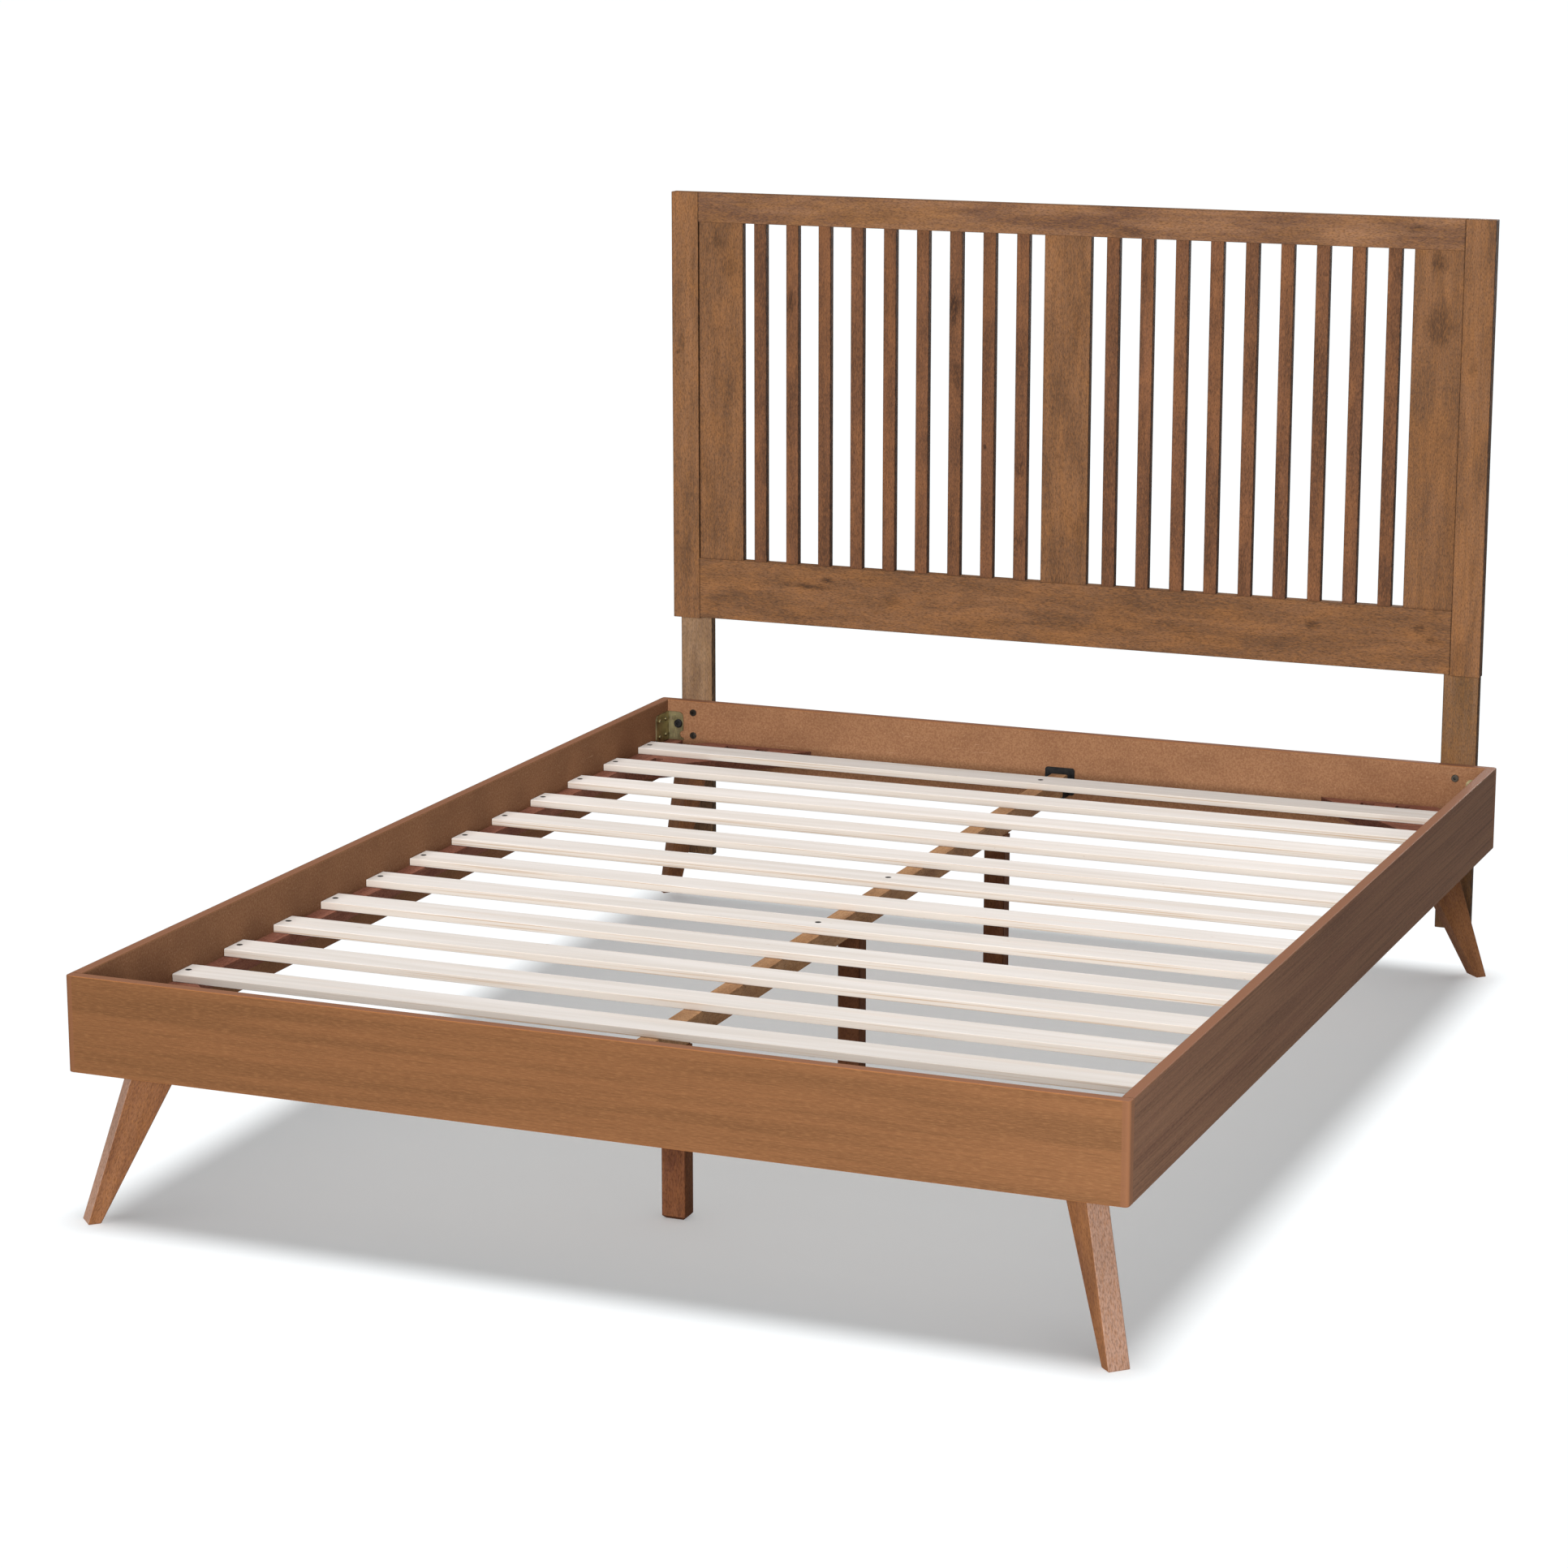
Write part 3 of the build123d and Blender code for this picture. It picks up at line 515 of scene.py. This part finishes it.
def veneered_board(name, turn, shift, inwards, lipped, veneer, board):
    """Fibreboard with a walnut veneer outside, lighter eased edges that are a painted highlight, and a bare,
    speckled and scuffed face inside.

    The ends of a lipped board are closed with a strip of their own tone. The veneer's lines and flecks are
    drawn coarser than real ones, so that they show.
    """
    material, tree, shader = new_material(name)
    place = add(tree, "ShaderNodeTexCoord").outputs["Object"]
    coords = along_grain(tree, place, turn, shift)

    bands = patches(tree, coords, sizes_mm=(16, 16, 600), low=0.25, high=0.75, detail=3.0, distortion=0.3)
    lines = patches(tree, coords, veneer["line_mm"], low=0.42, high=0.72, detail=4.0, distortion=0.4)
    flecks = patches(tree, coords, sizes_mm=(1.3, 1.3, 12), low=0.42, high=0.72, detail=3.0)
    layers = [
        (bands, 1.0, veneer["pale"]),
        (lines, veneer["line_strength"], veneer["line"]),
        (flecks, 0.32, veneer["fleck"]),
    ]
    outside = layered(tree, linear(veneer["deep"]), layers)

    mottle = patches(tree, place, sizes_mm=(3.4, 3.4, 3.4), low=0.35, high=0.65, detail=3.0)
    stains = patches(tree, place, sizes_mm=(90, 90, 60), low=0.4, high=0.7, detail=3.0)
    specks = patches(tree, place, sizes_mm=(2.2, 2.2, 2.2), low=0.66, high=0.74, detail=1.0)
    scratches = patches(
        tree, coords, sizes_mm=(1.4, 1.4, 90), low=0.74, high=0.78, detail=1.0, distortion=1.5
    )
    layers = [
        (mottle, 1.0, board["pale"]),
        (stains, 0.3, board["stain"]),
        (specks, 0.35, BOARD_SPECK),
        (scratches, 0.5, BOARD_SCRATCH),
    ]
    inside = layered(tree, linear(board["deep"]), layers)

    inner = facing(tree, inwards)
    sides = add(tree, "ShaderNodeMix", {AMOUNT: inner, UNDER: outside, OVER: inside}, data_type="RGBA")
    # Lighter colour on the rounded edges: a painted highlight
    layers = [(rounded_edges(tree), 0.7, veneer["edge"])]
    if lipped:
        layers.append((lipped_ends(tree, place), 0.8, RAIL_END))
    layers.append((facing(tree, (0, 0, 1), low=0.8, high=0.95), 0.9, RAIL_TOP))

    smooth, rough = RAIL_ROUGHNESS
    sheen = add(tree, "ShaderNodeMapRange", {"Value": inner, "To Min": smooth, "To Max": rough})
    dents = add(tree, "ShaderNodeBump", {"Height": flecks, **FIBRE_RELIEF}, invert=True)
    inputs = {
        "Base Color": layered(tree, sides.outputs[MIXED], layers),
        "Roughness": sheen.outputs[0],
        "Specular IOR Level": LACQUER_SHINE,
        "Normal": dents.outputs[0],
    }
    feed(tree, shader, inputs)
    return material


def birch_plywood(name, shift, screws):
    """Bare peeled-veneer plywood: cream faces with faint long fibres, tan plies in the edges, painted shade
    in the screw holes.

    The fibres are drawn coarser than real ones, so that they show.
    """
    material, tree, shader = new_material(name)
    place = add(tree, "ShaderNodeTexCoord").outputs["Object"]
    coords = along_grain(tree, place, ALONG_X, shift)

    tones = patches(tree, coords, sizes_mm=(30, 18, 500), low=0.35, high=0.65, detail=3.0)
    fibres = patches(tree, coords, sizes_mm=(1.6, 1.6, 180), low=0.48, high=0.72, detail=3.0)
    blush = patches(tree, coords, sizes_mm=(22, 22, 300), low=0.55, high=0.75, detail=2.0)
    defects = patches(tree, coords, sizes_mm=(6, 6, 22), low=0.76, high=0.8, detail=2.0)
    layers = [
        (tones, 1.0, BIRCH_FACE["pale"]),
        (fibres, 0.3, BIRCH_FACE["fibre"]),
        (blush, 0.3, BIRCH_FACE["blush"]),
        (defects, 0.55, BIRCH_FACE["defect"]),
    ]
    face = layered(tree, linear(BIRCH_FACE["deep"]), layers)

    plies = patches(tree, coords, sizes_mm=(2.0, 120, 400), low=0.56, high=0.7, detail=1.0)
    layers = [
        (plies, 1.0, BIRCH_EDGE["ply"]),
        (fibres, 0.2, BIRCH_EDGE["fibre"]),
        (defects, 0.5, BIRCH_EDGE["defect"]),
    ]
    edge = layered(tree, linear(BIRCH_EDGE["pale"]), layers)

    top = facing(tree, (0, 0, 1))
    under = facing(tree, (0, 0, -1))
    flat = add(tree, "ShaderNodeMath", {0: top, 1: under}, operation="ADD", use_clamp=True)
    inputs = {AMOUNT: flat.outputs[0], UNDER: edge, OVER: face}
    sides = add(tree, "ShaderNodeMix", inputs, data_type="RGBA")
    # Painted shade in the screw holes
    layers = [(painted_hole_shade(tree, place, x, y), 0.95, SCREW_HOLE_PAINTED_SHADE) for x, y in screws]

    dents = add(tree, "ShaderNodeBump", {"Height": fibres, **FIBRE_RELIEF}, invert=True)
    inputs = {
        "Base Color": layered(tree, sides.outputs[MIXED], layers),
        "Roughness": PLYWOOD_ROUGHNESS,
        "Specular IOR Level": DRY_SHINE,
        "Normal": dents.outputs[0],
    }
    feed(tree, shader, inputs)
    return material


def blackened_steel(name):
    """Black oxide on pressed steel: near black, satin, with slightly uneven sheen."""
    material, tree, shader = new_material(name)
    place = add(tree, "ShaderNodeTexCoord").outputs["Object"]
    uneven = patches(tree, place, sizes_mm=(6, 6, 6), low=0.35, high=0.65, detail=3.0)
    smooth, rough = BLACK_OXIDE_ROUGHNESS
    sheen = add(tree, "ShaderNodeMapRange", {"Value": uneven, "To Min": smooth, "To Max": rough})
    inputs = {
        "Base Color": layered(tree, linear(BLACK_OXIDE["deep"]), [(uneven, 1.0, BLACK_OXIDE["pale"])]),
        "Roughness": sheen.outputs[0],
        "Specular IOR Level": DRY_SHINE,
    }
    feed(tree, shader, inputs)
    return material


def zinc_plate(name, zinc):
    """Passivated zinc plate on steel: cloudy metal colours and a soft, faintly brushed shine.

    The brush marks are drawn coarser than real ones, so that they show.
    """
    material, tree, shader = new_material(name)
    place = add(tree, "ShaderNodeTexCoord").outputs["Object"]
    clouds = patches(tree, place, sizes_mm=(14, 14, 14), low=0.35, high=0.65, detail=2.0)
    tints = patches(tree, place, sizes_mm=(9, 9, 9), low=0.55, high=0.7, detail=2.0)
    brushed = patches(tree, place, sizes_mm=(1.2, 1.2, 12), low=0.35, high=0.65, detail=2.0)
    smooth, rough = ZINC_ROUGHNESS
    sheen = add(tree, "ShaderNodeMapRange", {"Value": brushed, "To Min": smooth, "To Max": rough})
    layers = [(clouds, 1.0, zinc["pale"]), (tints, 0.3, zinc["blush"])]
    inputs = {
        "Base Color": layered(tree, linear(zinc["deep"]), layers),
        "Metallic": 1.0,
        "Roughness": sheen.outputs[0],
    }
    feed(tree, shader, inputs)
    return material


def turned_brass(name):
    """Machined brass: warm yellow metal with turning marks, drawn coarser than real so that they show."""
    material, tree, shader = new_material(name)
    place = add(tree, "ShaderNodeTexCoord").outputs["Object"]
    marks = patches(tree, place, sizes_mm=(8, 1.0, 8), low=0.35, high=0.65)
    inputs = {
        "Base Color": layered(tree, linear(BRASS["deep"]), [(marks, 1.0, BRASS["pale"])]),
        "Metallic": 1.0,
        "Roughness": BRASS_ROUGHNESS,
    }
    feed(tree, shader, inputs)
    return material


def finish_node(node, material):
    """Give a material to every slot of a piece of the frame."""
    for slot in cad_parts[node].material_slots:
        slot.material = material


def leg_turn(node):
    """Turn that lays the grain along a corner leg, which splays from its top out to its foot.

    The box of a leg is about twice as wide as the splay of its middle line.
    """
    low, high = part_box(node)
    out_x = math.copysign(high.x - low.x, low.x + high.x)
    out_y = math.copysign(high.y - low.y, low.y + high.y)
    slope = Vector((-out_x, -out_y, 2 * (high.z - low.z)))
    return tuple(slope.rotation_difference(Vector((0, 0, 1))).to_euler())


def leg_outwards(node):
    """The way a corner leg's outer side faces, along the diagonal of its corner."""
    low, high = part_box(node)
    diagonal = math.sqrt(0.5)
    return math.copysign(diagonal, low.x + high.x), math.copysign(diagonal, low.y + high.y), 0.0


def slat_bay(node):
    """Start and pitch of the cells that hold one headboard slat each."""
    low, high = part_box(node)
    pitch = (high.x - low.x - HEADBOARD_SLAT_WIDTH) / (HEADBOARD_SLATS_PER_BAY - 1)
    return low.x - (pitch - HEADBOARD_SLAT_WIDTH) / 2, pitch


def stage_sheet(name, side_x, side_y, middle):
    """A level paper sheet that belongs to the studio. Returns it with the shader of its material."""
    mesh = bpy.data.meshes.new(name)
    shape = bmesh.new()
    # One metre square at first, then stretched to its sides
    bmesh.ops.create_grid(shape, x_segments=1, y_segments=1, size=0.5)
    bmesh.ops.scale(shape, vec=(side_x, side_y, 1.0), verts=shape.verts)
    shape.to_mesh(mesh)
    shape.free()
    sheet = bpy.data.objects.new(name, mesh)
    sheet.location = middle
    bpy.context.scene.collection.objects.link(sheet)
    material, tree, shader = new_material(f"{name}_paper")
    feed(tree, shader, {"Roughness": PAPER_ROUGHNESS, "Specular IOR Level": 0.0})
    mesh.materials.append(material)
    return sheet, shader


def studio_floor():
    """A wide pale floor."""
    floor, shader = stage_sheet("studio_floor", FLOOR_SIDE, FLOOR_SIDE, (0.0, 0.0, 0.0))
    shader.inputs["Base Color"].default_value = linear(FLOOR_WHITE)
    return floor


def shadow_card():
    """A half-clear card under the rails that the light alone sees, so that the floor's shadow is even."""
    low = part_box("foot_rail")[0]
    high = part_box("head_rail")[1]
    middle = ((low.x + high.x) / 2, (low.y + high.y) / 2, low.z)
    card, shader = stage_sheet("shadow_card", high.x - low.x, high.y - low.y, middle)
    shader.inputs["Base Color"].default_value = linear(CARD_BLACK)
    shader.inputs["Alpha"].default_value = CARD_SHADE
    card.visible_camera = False
    card.visible_diffuse = False
    card.visible_glossy = False
    card.visible_transmission = False
    return card


def group(name, pieces):
    """A collection of pieces for a light to be linked to."""
    made = bpy.data.collections.new(name)
    for piece in pieces:
        made.objects.link(piece)
    return made


def overhead_light(name, light, lit, blockers=None):
    """A broad light straight above that lights one group. Where blockers are given, they alone shade it."""
    sun = bpy.data.lights.new(name, "SUN")
    sun.color = linear(light["colour"])[:3]
    sun.energy = light["strength"]
    sun.angle = math.radians(light["spread"])
    lamp = bpy.data.objects.new(name, sun)
    lamp.light_linking.receiver_collection = lit
    if blockers:
        lamp.light_linking.blocker_collection = blockers
    bpy.context.scene.collection.objects.link(lamp)


def softbox_light(name, box, lit):
    """A square softbox, out of the camera's sight, that lights one group of pieces."""
    softbox = bpy.data.lights.new(name, "AREA")
    softbox.size = box["side"]
    softbox.color = linear(box["colour"])[:3]
    softbox.energy = box["watts"]
    lamp = bpy.data.objects.new(name, softbox)
    lamp.location = box["place"]
    aim = Vector(box["target"]) - Vector(box["place"])
    lamp.rotation_euler = aim.to_track_quat("-Z", "Y").to_euler()
    lamp.light_linking.receiver_collection = lit
    lamp.visible_camera = False
    bpy.context.scene.collection.objects.link(lamp)


def studio_light(floor, card, rail_pieces):
    """An even white dome, one overhead light for the bed and two for the floor, and the three softboxes."""
    world = bpy.data.worlds.new("studio_dome")
    world.use_nodes = True
    background = world.node_tree.nodes["Background"]
    feed(world.node_tree, background, {"Color": linear(DOME_WHITE), "Strength": DOME_STRENGTH})
    bpy.context.scene.world = world
    bpy.context.scene.view_settings.view_transform = "Standard"

    bed_group = group("bed_pieces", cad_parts.values())
    floor_group = group("floor_alone", [floor])
    legs = [piece for node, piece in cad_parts.items() if node.endswith("_leg")]
    overhead_light("bed_overhead", BED_OVERHEAD, bed_group)
    overhead_light("floor_overhead", FLOOR_OVERHEAD, floor_group, group("card_alone", [card]))
    overhead_light("leg_overhead", LEG_OVERHEAD, floor_group, group("card_and_legs", [card] + legs))
    softbox_light("front_softbox", FRONT_SOFTBOX, bed_group)
    softbox_light("back_softbox", BACK_SOFTBOX, bed_group)
    softbox_light("rail_softbox", RAIL_SOFTBOX, group("rail_pieces", rail_pieces))


def photo_camera():
    """The camera, level from side to side and looking down at the bed."""
    lens = bpy.data.cameras.new("photo_camera")
    lens.sensor_width = SENSOR_MM
    lens.lens = FOCAL_PIXELS / PICTURE_SIDE * SENSOR_MM
    lens.clip_end = FLOOR_SIDE
    camera = bpy.data.objects.new("photo_camera", lens)
    camera.location = CAMERA_PLACE
    camera.rotation_euler = (math.radians(90 - CAMERA_PITCH), 0.0, math.radians(CAMERA_YAW))
    bpy.context.scene.collection.objects.link(camera)
    bpy.context.scene.camera = camera


# Headboard: each piece's grain, the place of a joint between its staves, and its knots and smudges
headboard_pieces = {
    "headboard_left_stile": (ALONG_Z, None, [(-754, 1037, 14, 14, 0.9), (-748, 1055, 22, 60, 0.4)]),
    "headboard_right_stile": (ALONG_Z, None, [(735, 1080, 26, 50, 0.4)]),
    "headboard_top_rail": (ALONG_X, 0.61, [(628, 1312, 60, 22, 0.5), (578, 1305, 50, 26, 0.5)]),
    "headboard_bottom_rail": (
        ALONG_X,
        0.13,
        [
            (-490, 612, 120, 16, 0.7),
            (-455, 626, 40, 18, 0.8),
            (458, 608, 60, 26, 0.7),
            (659, 616, 34, 22, 0.6),
            (682, 596, 34, 24, 0.6),
            (-330, 600, 60, 40, 0.4),
        ],
    ),
    "headboard_left_board": (ALONG_Z, 1.186, [(-680, 1240, 70, 60, 0.5), (-655, 1195, 40, 60, 0.45)]),
    "headboard_centre_board": (ALONG_Z, 1.126, [(20, 760, 30, 60, 0.35)]),
    "headboard_right_board": (ALONG_Z, 1.041, [(676, 1149, 80, 110, 0.6), (672, 1253, 50, 50, 0.55)]),
}
for number, (node, (turn, joint, marks)) in enumerate(headboard_pieces.items(), FIRST_STEPS["headboard"]):
    shift = number * BOARD_STEP
    # The top rail's colours carry a painted sheen
    stain = TOP_RAIL_STAIN_WITH_PAINTED_SHEEN if node == "headboard_top_rail" else HEADBOARD_STAIN
    name = f"{node}_rubberwood"
    wood = stained_hardwood(name, stain, turn, shift, joint=joint, marks=marks, with_painted_side_shade=True)
    finish_node(node, wood)

# Knots and smudges of the slats in each bay of the headboard
slat_marks = {
    "headboard_left_slats": [
        (-530, 1128, 30, 80, 0.9),
        (-213, 1150, 30, 120, 0.9),
        (-207, 1014, 30, 90, 0.6),
        (-152, 891, 10, 14, 0.9),
        (-83, 861, 30, 70, 0.7),
        (-86, 727, 30, 60, 0.6),
    ],
    "headboard_right_slats": [],
}
for number, (node, marks) in enumerate(slat_marks.items(), FIRST_STEPS["headboard_slats"]):
    shift = number * BOARD_STEP
    bay = slat_bay(node)
    name = f"{node}_rubberwood"
    wood = stained_hardwood(name, HEADBOARD_SLAT_STAIN, ALONG_Z, shift, bay=bay, marks=marks, with_painted_side_shade=True)
    finish_node(node, wood)

# Posts
posts = {"left_headboard_post": LEFT_POST_STAIN, "right_headboard_post": RIGHT_POST_STAIN}
for number, (node, stain) in enumerate(posts.items(), FIRST_STEPS["posts"]):
    shift = number * BOARD_STEP
    finish_node(node, stained_hardwood(f"{node}_rubberwood", stain, ALONG_Z, shift, with_painted_side_shade=True))

# Rails: the grain, the way in, whether the ends are lipped, the veneer and the board
rails = {
    "foot_rail": (ALONG_X, (0, 1, 0), True, END_VENEER, END_BOARD),
    "head_rail": (ALONG_X, (0, -1, 0), True, END_VENEER, END_BOARD),
    "left_side_rail": (ALONG_Y, (1, 0, 0), False, SIDE_VENEER, SIDE_BOARD),
    "right_side_rail": (ALONG_Y, (-1, 0, 0), False, SIDE_VENEER, SIDE_BOARD),
}
for number, (node, (turn, inwards, lipped, veneer, board)) in enumerate(rails.items(), FIRST_STEPS["rails"]):
    shift = number * BOARD_STEP
    finish_node(node, veneered_board(f"{node}_veneer", turn, shift, inwards, lipped, veneer, board))

# Deck
for number in range(1, BED_SLATS + 1):
    node = f"bed_slat_{number:02d}"
    low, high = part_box(node)
    screw_xs = [low.x + SLAT_SCREW_INSET, high.x - SLAT_SCREW_INSET]
    if number in BEAM_SCREW_SLATS:
        screw_xs.append(0.0)
    screws = [(x, (low.y + high.y) / 2) for x in screw_xs]
    finish_node(node, birch_plywood(f"{node}_plywood", number * BOARD_STEP, screws))

# Legs and supports
corners = [f"{end}_{side}" for end in ("front", "rear") for side in ("left", "right")]
for number, corner in enumerate(corners, FIRST_STEPS["legs"]):
    shift = number * BOARD_STEP
    node = f"{corner}_leg"
    name = f"{node}_rubberwood"
    # Each corner leg gets painted light on its outer side
    wood = stained_hardwood(name, LEG_STAIN, leg_turn(node), shift, painted_light_side=leg_outwards(node))
    finish_node(node, wood)
    node = f"{corner}_corner_brace"
    finish_node(node, stained_hardwood(f"{node}_softwood", SUPPORT_STAIN, ALONG_X, shift))
# The centre legs take a stain darkened with painted shade
centre_legs = ("front_centre_leg", "middle_centre_leg", "rear_centre_leg")
for number, node in enumerate(centre_legs, FIRST_STEPS["centre_legs"]):
    shift = number * BOARD_STEP
    finish_node(node, stained_hardwood(f"{node}_rubberwood", CENTRE_LEG_STAIN_WITH_PAINTED_SHADE, ALONG_Z, shift))
for number, node in enumerate(("left_ledger", "right_ledger"), FIRST_STEPS["ledgers"]):
    shift = number * BOARD_STEP
    finish_node(node, stained_hardwood(f"{node}_softwood", SUPPORT_STAIN, ALONG_Y, shift))
shift = FIRST_STEPS["beam"] * BOARD_STEP
finish_node("centre_beam", stained_hardwood("centre_beam_softwood", BEAM_STAIN, ALONG_Y, shift))

# Hardware
black_pieces = (
    "head_beam_hanger",
    "foot_beam_hanger",
    "hanger_screws",
    "slat_screws",
    "bracket_bolts",
    "leg_bolts",
    "headboard_bolts",
)
black = blackened_steel("black_oxide_steel")
for node in black_pieces:
    finish_node(node, black)
yellow_zinc = zinc_plate("yellow_zinc_steel", YELLOW_ZINC)
for node in [f"{corner}_corner_bracket" for corner in corners] + ["bracket_screws"]:
    finish_node(node, yellow_zinc)
bright_zinc = zinc_plate("bright_zinc_steel", BRIGHT_ZINC)
for node in ("centre_leg_bolts", "brace_screws", "ledger_screws"):
    finish_node(node, bright_zinc)
# The bolts sunk in the posts: zinc with painted shade
finish_node("post_bolts", zinc_plate("zinc_steel_with_painted_shade", ZINC_WITH_PAINTED_SHADE))
finish_node("threaded_inserts", turned_brass("turned_brass"))

studio_light(studio_floor(), shadow_card(), [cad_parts[node] for node in rails])
photo_camera()
